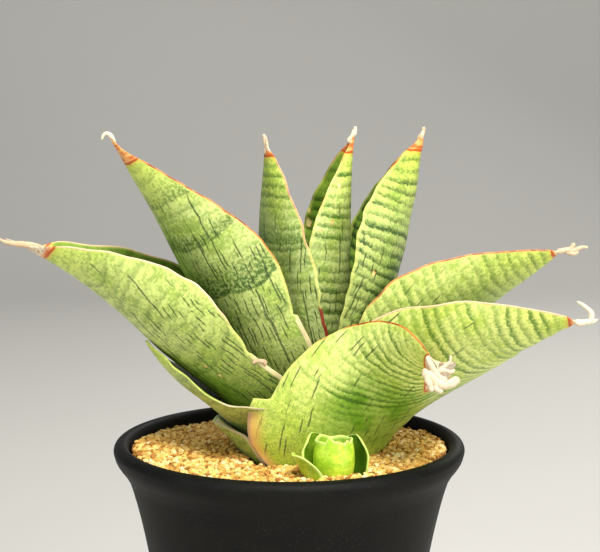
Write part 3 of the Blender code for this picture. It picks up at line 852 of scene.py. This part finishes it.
def pup_material(name, inside, seed):
    s = Skin(name, seed * 5.1)
    cloud = s.noise(s.place, 0.22, 3, 0.6)
    grain = s.noise(s.place, 1.4, 3, 0.6)
    colour = s.patches(cloud, 0.4, 0.62, tone(196, 222, 62), tone(158, 198, 40))
    colour = s.paint(colour, tone(112, 164, 24), s.step(grain, 0.48, 0.66), 0.5)
    # painted shade: the inner face is painted a deeper green
    colour = s.paint(colour, tone(58, 104, 8), s.step(s.inner, 0.45, 0.9), inside)
    colour = s.paint(colour, tone(206, 228, 120), s.step(s.edge, 1, 0.25))
    s.bump(s.plus(grain, cloud), 0.3, 0.15)
    return s.finish(colour, s.between(grain, 0.34, 0.48), 0.45)


# ---------- plant

def make_leaves():
    for index, (name, own) in enumerate(LEAVES.items()):
        leaf = SimpleNamespace(**{**PLAIN_LEAF, **own})
        sheet = Sheet()
        tip, margin = leaf_sheet(
            sheet, leaf, CROWN, CROWN_BOTTOM, rows=170, columns=44, base_thick=1.6, body_thick=2.8,
            seed=100 + index)
        first_seed = 300 + 10 * index
        for number, thread in enumerate(PRONGS.get(name, [])):
            prong(sheet, tip, thread, first_seed + number, leaf.length)
        if name in HOOKS:
            place, thread = HOOKS[name]
            start = margin[round(place / leaf.length * (len(margin) - 1))]
            prong(sheet, start, thread, first_seed + 9, leaf.length)
        piece = sheet.build(f"{name}_blade")
        piece.data.materials.append(leaf_material(name, leaf, index + 1))
        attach(piece, "root")
        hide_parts(name)


def make_pup():
    for index, (name, own) in enumerate(PUP_LEAVES.items()):
        leaf = SimpleNamespace(**{**PLAIN_LEAF, **own})
        sheet = Sheet()
        leaf_sheet(
            sheet, leaf, PUP, PUP_BOTTOM, rows=60, columns=32, base_thick=1.1,
            body_thick=1.3, seed=200 + index, tip=0.04, belly=2, taper=0.5)
        piece = sheet.build(f"{name}_blade")
        piece.data.materials.append(pup_material(name, leaf.inside, 20 + index))
        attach(piece, "root")
        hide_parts(name)


def spike(turns, degrees, height, width):
    """A point in the bud's torn top edge."""
    away = (turns - math.radians(degrees) + math.pi) % math.tau - math.pi
    return height * np.exp(-(away / width) ** 2)


def make_pup_bud():
    """A barrel of rolled young leaf; its torn top edge is wavy with two points."""
    rows, sides = 64, 72
    turns = np.arange(sides) * math.tau / sides
    wavy = 0.35 * np.sin(3 * turns + 0.6) + 0.3 * np.sin(5 * turns + 2.1)
    top = BUD_TOP + wavy + spike(turns, 255, 1.9, 0.16) + spike(turns, 318, 1.2, 0.14)
    # radius and level (0 at the bottom, 1 at the top): up the outside, down the inside
    profile = [
        (4.4, 0), (5.3, 0.16), (5.9, 0.32), (6.5, 0.46), (6.75, 0.58), (6.7, 0.7),
        (6.4, 0.82), (6.05, 0.92), (5.95, 0.97), (5.9, 1), (5.35, 1), (5, 0.95),
        (4.4, 0.88), (3, 0.82), (1.2, 0.8)]
    share = np.linspace(0, 1, rows)
    radius, level = curve_points(profile, share).T
    uneven = 1 + 0.012 * Waves(77).field(level[:, None] * 20, turns[None, :] * 6, 9)
    fold_line = 0.35 * np.exp(-(((turns - math.radians(300)) / 0.05) ** 2))
    reach = radius[:, None] * uneven - fold_line * eased(0.3, 0.6, share)[:, None]
    heights = PUP_BOTTOM + (top - PUP_BOTTOM) * level[:, None]
    rings = np.stack([PUP[0] + reach * np.cos(turns), PUP[1] + reach * np.sin(turns), heights], -1)
    sheet = Sheet()
    sheet.add(
        rings, tube_faces(rows, sides), leaf_along=np.repeat(level * 20, sides),
        leaf_across=np.tile(turns * 6, rows), leaf_edge=np.abs(heights - top) * 0.6 + 0.3,
        leaf_inner=np.repeat(eased(0.64, 0.7, share), sides))
    piece = sheet.build("pup_bud_barrel")
    # the inside of the barrel gets the same painted shade at half strength
    piece.data.materials.append(pup_material("pup_bud", 0.5, 31))
    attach(piece, "root")
    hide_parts("pup_bud")


# ---------- grit

def grit_material():
    s = Shader("grit_grains")
    place = s.object_place()
    colour = s.ramp(
        s.attribute("grain"), (0, tone(150, 98, 40)), (0.2, tone(204, 154, 74)),
        (0.55, tone(232, 190, 100)), (0.85, tone(244, 208, 130)), (1, tone(250, 230, 176)))
    dirt = s.noise(place, 900, 3, 0.6)
    colour = s.paint(colour, tone(168, 112, 48), s.step(dirt, 0.5, 0.7), 0.45)
    s.bump(s.noise(place, 2600, 3, 0.7), 0.5, 0.2)
    return s.finish(colour, 0.92, 0.25)


def rock_shapes(kinds, random, corners=15):
    """A few lumpy low stones, as convex hulls of scattered points."""
    shapes = []
    for _ in range(kinds):
        work = bmesh.new()
        for index in range(corners):
            height = 1 - 2 * (index + 0.5) / corners
            turn = index * GOLDEN_ANGLE + random.uniform(-0.3, 0.3)
            flat = math.sqrt(1 - height * height)
            size = random.uniform(0.82, 1.12)
            work.verts.new((size * flat * math.cos(turn), size * flat * math.sin(turn), size * height))
        bmesh.ops.convex_hull(work, input=work.verts)
        used = [vert for vert in work.verts if vert.link_faces]
        index = {vert: place for place, vert in enumerate(used)}
        points = np.array([vert.co for vert in used])
        faces = [tuple(index[vert] for vert in face.verts) for face in work.faces]
        shapes.append((points, faces))
        work.free()
    return shapes


def grain_places(random, reach):
    """Place, size and depth of each grain of two jittered layers inside the pot."""
    for layer, (sink, spacing) in enumerate(((1.15, 1.08 * GRAIN_STEP), (0.3, GRAIN_STEP))):
        for row in range(int(2 * reach / (spacing * 0.87)) + 1):
            for column in range(int(2 * reach / spacing) + 1):
                x = -reach + (column + 0.5 * (row % 2) + 0.3 * layer) * spacing
                y = -reach + row * spacing * 0.87
                x += random.uniform(-0.42, 0.42)
                y += random.uniform(-0.42, 0.42)
                size = random.uniform(0.82, 1.22)
                if math.hypot(x, y) <= reach - 0.35 * size:
                    yield x, y, size, sink


def bed_height(tree, low, high, x, y):
    """Height of the bed at a place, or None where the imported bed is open."""
    hit, _, _, _ = tree.ray_cast(Vector((x, y, 1000)) * MM, Vector((0, 0, -1)))
    if hit is not None and hit.z / MM >= low.z / MM + 4:
        return hit.z / MM
    if y < PUP[1] and math.hypot(x - PUP[0], y - PUP[1]) < PUP_WELL:
        return high.z / MM - 0.2
    return None


def grain_body(random, shapes, size):
    """Points and faces of one stretched, tilted and turned stone."""
    points, faces = shapes[random.integers(len(shapes))]
    turn = random.uniform(0, math.tau)
    tilt = random.uniform(-0.6, 0.6)
    stretch = np.array([random.uniform(low, high) for low, high in GRAIN_STRETCH])
    lean = np.array([[math.cos(tilt), 0, math.sin(tilt)], [0, 1, 0], [-math.sin(tilt), 0, math.cos(tilt)]])
    spin = np.array([[math.cos(turn), math.sin(turn), 0], [-math.sin(turn), math.cos(turn), 0], [0, 0, 1]])
    return points * stretch * size @ lean @ spin, faces


def make_grit():
    """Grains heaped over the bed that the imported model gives."""
    random = np.random.default_rng(11)
    bed = bmesh.new()
    bed.from_mesh(NODES["gravel_dressing"].data)
    bmesh.ops.remove_doubles(bed, verts=bed.verts, dist=1e-6)
    tree = BVHTree.FromBMesh(bed)
    low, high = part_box("gravel_dressing")

    sheet = Sheet()
    for vert in bed.verts:
        if vert.co.z > low.z + 5.5 * MM:
            vert.co.z += (GRIT_LIFT - BED_DROP) * MM
    bed.verts.index_update()
    sheet.add(
        [vert.co / MM for vert in bed.verts],
        [tuple(vert.index for vert in face.verts) for face in bed.faces], grain=0)
    bed.free()

    shapes = rock_shapes(9, random)
    for x, y, size, sink in grain_places(random, high.x / MM - 0.3):
        surface = bed_height(tree, low, high, x, y)
        if surface is None:
            continue
        body, faces = grain_body(random, shapes, size)
        far = math.hypot(x - MOUND[0], y - MOUND[1]) / MOUND_SIZE[0]
        heap = MOUND_SIZE[1] * math.exp(-far ** 2)
        height = surface - sink + GRIT_LIFT + heap - 0.25 + random.uniform(-0.38, 0.3)
        sheet.add(body + (x, y, height), faces, grain=random.uniform(0, 1))
    piece = sheet.build("grit_grains", angle=28)
    piece.data.materials.append(grit_material())
    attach(piece, "root")
    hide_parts("gravel_dressing")


# ---------- pot and what it holds

def pot_material():
    s = Shader("pot_plastic_fine")
    place = s.object_place()
    grain = s.noise(place, 1500, 3, 0.7)
    smudge = s.noise(place, 42, 4, 0.6)
    colour = s.patches(smudge, 0.35, 0.75, tone(10, 10, 9), tone(20, 20, 17))
    # painted glints: the pale grey specks stand for fine sparkle catching the light; the same grain noise
    # also makes the fine bump
    colour = s.paint(colour, tone(64, 63, 58), s.step(grain, 0.6, 0.74), 0.6)
    dust = s.node("ShaderNodeTexVoronoi", feature="F1")
    s.feed(dust.inputs["Vector"], place)
    dust.inputs["Scale"].default_value = 120
    chosen = s.channels(dust.outputs["Color"])[0]
    fleck = s.times(s.step(dust.outputs["Distance"], 0.085, 0.04), s.step(chosen, 0.88, 0.9))
    colour = s.paint(colour, tone(150, 140, 118), fleck, 0.8)
    s.bump(s.plus(grain, s.times(s.noise(place, 420, 2), 0.6)), 0.45, 0.12)
    return s.finish(colour, s.between(smudge, 0.46, 0.68), 0.13)


def soil_material():
    s = Shader("potting_soil")
    place = s.object_place()
    lumps = s.noise(place, 260, 4, 0.65)
    colour = s.patches(lumps, 0.38, 0.62, tone(44, 30, 20), tone(98, 70, 46))
    colour = s.paint(colour, tone(170, 150, 120), s.step(s.noise(place, 700, 2), 0.64, 0.72))
    s.bump(lumps, 0.8, 1)
    return s.finish(colour, 0.95)


def rhizome_material():
    s = Shader("rhizome_skin")
    streak = s.noise(s.object_place(), 180, 4, 0.6)
    colour = s.patches(streak, 0.35, 0.65, tone(196, 132, 70), tone(140, 84, 42))
    s.bump(streak, 0.5, 0.4)
    return s.finish(colour, 0.7)


def wall_radius(height):
    """Outer radius of the flared wall below the lip, with a small kick out at its neck."""
    share = height / NECK_HEIGHT
    kick = 1
    return BASE_RADIUS + (NECK_RADIUS - BASE_RADIUS - kick) * share ** 1.55 + kick * share ** 12


def turned_mesh(name, profile, steps):
    """Spin (radius, height) points about the upright axis through the origin."""
    work = bmesh.new()
    corners = [work.verts.new((radius * MM, 0, height * MM)) for radius, height in profile]
    edges = [work.edges.new(pair) for pair in zip(corners, corners[1:])]
    bmesh.ops.spin(
        work, geom=corners + edges, axis=(0, 0, 1), cent=(0, 0, 0),
        steps=steps, angle=math.tau, use_merge=True)
    bmesh.ops.remove_doubles(work, verts=work.verts, dist=1e-6)
    bmesh.ops.recalc_face_normals(work, faces=work.faces)
    mesh = bpy.data.meshes.new(name)
    work.to_mesh(mesh)
    work.free()
    return mesh


def pot_profile():
    """The pot's outline in (radius, height): base, outer wall, lip, inner wall, floor."""
    lip = [
        (NECK_RADIUS, NECK_HEIGHT), (55.6, 98.4), (56.8, 100.3), (58.2, 102.1), (59.3, 104),
        (59.8, 105.6), (RIM_RADIUS, 107), (59.4, 108.4), (58.3, 109.2), (56.9, 109.5),
        (55.8, 109), (55, 107.6), (54.5, 105), (53.9, 101)]
    rounded = curve_points(lip, np.linspace(0, 1, 53))
    rounded[:, 0] = np.minimum(rounded[:, 0], RIM_RADIUS)
    heights = np.linspace(4, NECK_HEIGHT, 40)
    return [
        (0, 0), (BASE_RADIUS - 2, 0), (BASE_RADIUS - 1, 0.4), (BASE_RADIUS - 0.5, 1.2),
        *((wall_radius(height), height) for height in heights[:-1]),
        *(tuple(point) for point in rounded),
        *((wall_radius(height) - WALL, height) for height in heights[::-1]),
        (BASE_RADIUS - WALL - 1, FLOOR), (0, FLOOR)]


def make_pot():
    """The flared pot, turned finely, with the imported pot's six drain holes."""
    pot = show("pot_body", turned_mesh("pot_body", pot_profile(), 160))
    drills = []
    for index in range(DRAINS):
        turn = math.tau * index / DRAINS
        under, over = -2, FLOOR + 2
        outline = [(0, under), (DRAIN_RADIUS, under), (DRAIN_RADIUS, over), (0, over)]
        drill = show("drill", turned_mesh("drill", outline, 24))
        drill.location = (DRAIN_CIRCLE * MM * math.cos(turn), DRAIN_CIRCLE * MM * math.sin(turn), 0)
        cut = pot.modifiers.new("drain", "BOOLEAN")
        cut.solver = "EXACT"
        cut.object = drill
        drills.append(drill)
    shaped = bpy.data.meshes.new_from_object(pot.evaluated_get(bpy.context.evaluated_depsgraph_get()))
    pot.modifiers.clear()
    pot.data = shaped
    for drill in drills:
        bpy.data.objects.remove(drill, do_unlink=True)
    shaped.shade_smooth()
    shaped.set_sharp_from_angle(angle=math.radians(45))
    shaped.materials.clear()
    shaped.materials.append(pot_material())
    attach(pot, "root")
    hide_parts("pot")


def dress_inside():
    for name, finish in (("potting_mix", soil_material()), ("rhizome", rhizome_material())):
        NODES[name].data.materials.clear()
        NODES[name].data.materials.append(finish)


# ---------- floor, light, camera

def make_floor():
    """A pale floor that sweeps up behind into a plain backdrop; its lengths are in metres."""
    half, depth, near, bend = 2.4, 1.6, -1.6, 0.5
    path = [(near, 0)]
    for index in range(13):
        turn = 0.5 * math.pi * index / 12
        path.append((depth - bend + bend * math.sin(turn), bend - bend * math.cos(turn)))
    path.append((depth, 2.6))
    points = [(x, y, z) for y, z in path for x in (-half, half)]
    faces = [(2 * row, 2 * row + 1, 2 * row + 3, 2 * row + 2) for row in range(len(path) - 1)]
    mesh = bpy.data.meshes.new("floor")
    mesh.from_pydata(points, [], faces)
    mesh.shade_smooth()
    floor = show("floor", mesh)
    s = Shader("floor_paper")
    colour = s.mix(s.noise(s.object_place(), 3, 2), tone(196, 194, 189), tone(203, 201, 197))
    mesh.materials.append(s.finish(colour, 0.85))


def make_light(name, place, size, power, colour):
    """A round studio light at a place in metres, aimed at the middle of the plant."""
    lamp = bpy.data.lights.new(name, "AREA")
    lamp.shape = "DISK"
    lamp.size = size
    lamp.energy = power
    lamp.color = colour
    item = show(name, lamp)
    item.location = place
    item.rotation_euler = (Vector((0, 0, 0.13)) - Vector(place)).to_track_quat("-Z", "Y").to_euler()


def make_lights():
    make_light("key_light", (0.16, -0.62, 1.02), 0.42, 17, (1, 0.97, 0.91))
    make_light("fill_light", (-0.95, -0.75, 0.45), 0.9, 4.2, (0.95, 0.98, 1))
    make_light("front_light", (0.8, -0.85, 0.42), 0.8, 7.2, (1, 0.98, 0.93))
    make_light("back_light", (0.55, 0.85, 0.85), 0.6, 6, (1, 0.98, 0.95))
    world = bpy.data.worlds.new("studio")
    world.use_nodes = True
    backdrop = world.node_tree.nodes["Background"]
    backdrop.inputs["Color"].default_value = (0.82, 0.86, 0.9, 1)
    backdrop.inputs["Strength"].default_value = 0.27
    bpy.context.scene.world = world


def make_camera():
    """A camera 0.5 m in front of the plant, looking slightly down."""
    lens = bpy.data.cameras.new("camera")
    lens.sensor_width = 36
    lens.lens = 90
    lens.clip_start = 0.01
    camera = show("camera", lens)
    camera.location = (3.68 * MM, -504.2 * MM, 230.8 * MM)
    camera.rotation_euler = (math.radians(90 - 7.36), 0, 0)
    bpy.context.scene.camera = camera


def main():
    bpy.context.scene.view_settings.view_transform = "Standard"
    make_camera()
    make_floor()
    make_lights()
    make_pot()
    dress_inside()
    make_grit()
    make_leaves()
    make_pup()
    make_pup_bud()


main()
